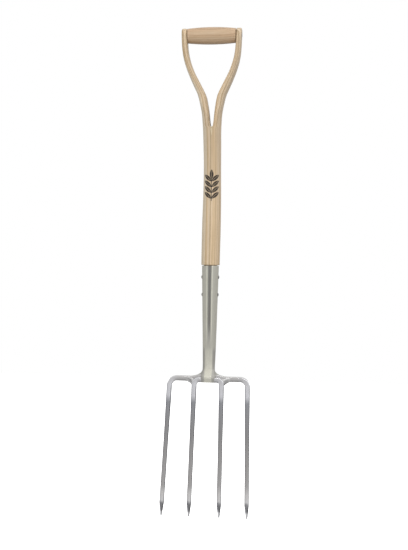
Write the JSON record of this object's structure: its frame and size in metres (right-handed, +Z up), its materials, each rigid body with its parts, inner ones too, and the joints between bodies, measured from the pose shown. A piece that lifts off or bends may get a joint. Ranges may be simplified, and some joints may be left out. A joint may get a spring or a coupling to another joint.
{
  "type": "digging fork",
  "caption": "Four-tine digging fork with a split-ash D handle, a turned grip, and a riveted, fluted steel socket on welded square tines.",
  "frame": {"origin": "middle of the grip's underside, where the fork hangs from a peg", "axes": "+Z up along the shaft from the tines to the grip, +Y towards the back of the fork, so its hollow front faces -Y, +X to the right of someone who looks at its front"},
  "size_m": [0.188, 0.1107, 1.0291],
  "materials": {
    "shaft_wood": "clear-lacquered ash",
    "wedge_wood": "clear-lacquered ash",
    "grip_wood": "turned and lacquered ash",
    "tine_steel": "polished",
    "socket_steel": "satin",
    "rivet_steel": "satin",
    "weld_steel": "ground and polished"
  },
  "bodies": {
    "root": {"shaft": "shaft_wood", "crotch_wedge": "wedge_wood", "grip": "grip_wood", "grip_rod": "rivet_steel", "grip_washer_left": "rivet_steel", "grip_washer_right": "rivet_steel", "socket": "socket_steel", "socket_rivet_upper": "rivet_steel", "socket_rivet_lower": "rivet_steel", "outer_tine_bar": "tine_steel", "inner_tine_bar": "tine_steel", "weld_shoulder_left": "weld_steel", "weld_shoulder_right": "weld_steel", "weld_inner_left": "weld_steel", "weld_inner_right": "weld_steel", "weld_underside": "weld_steel"}
  },
  "joints": []
}
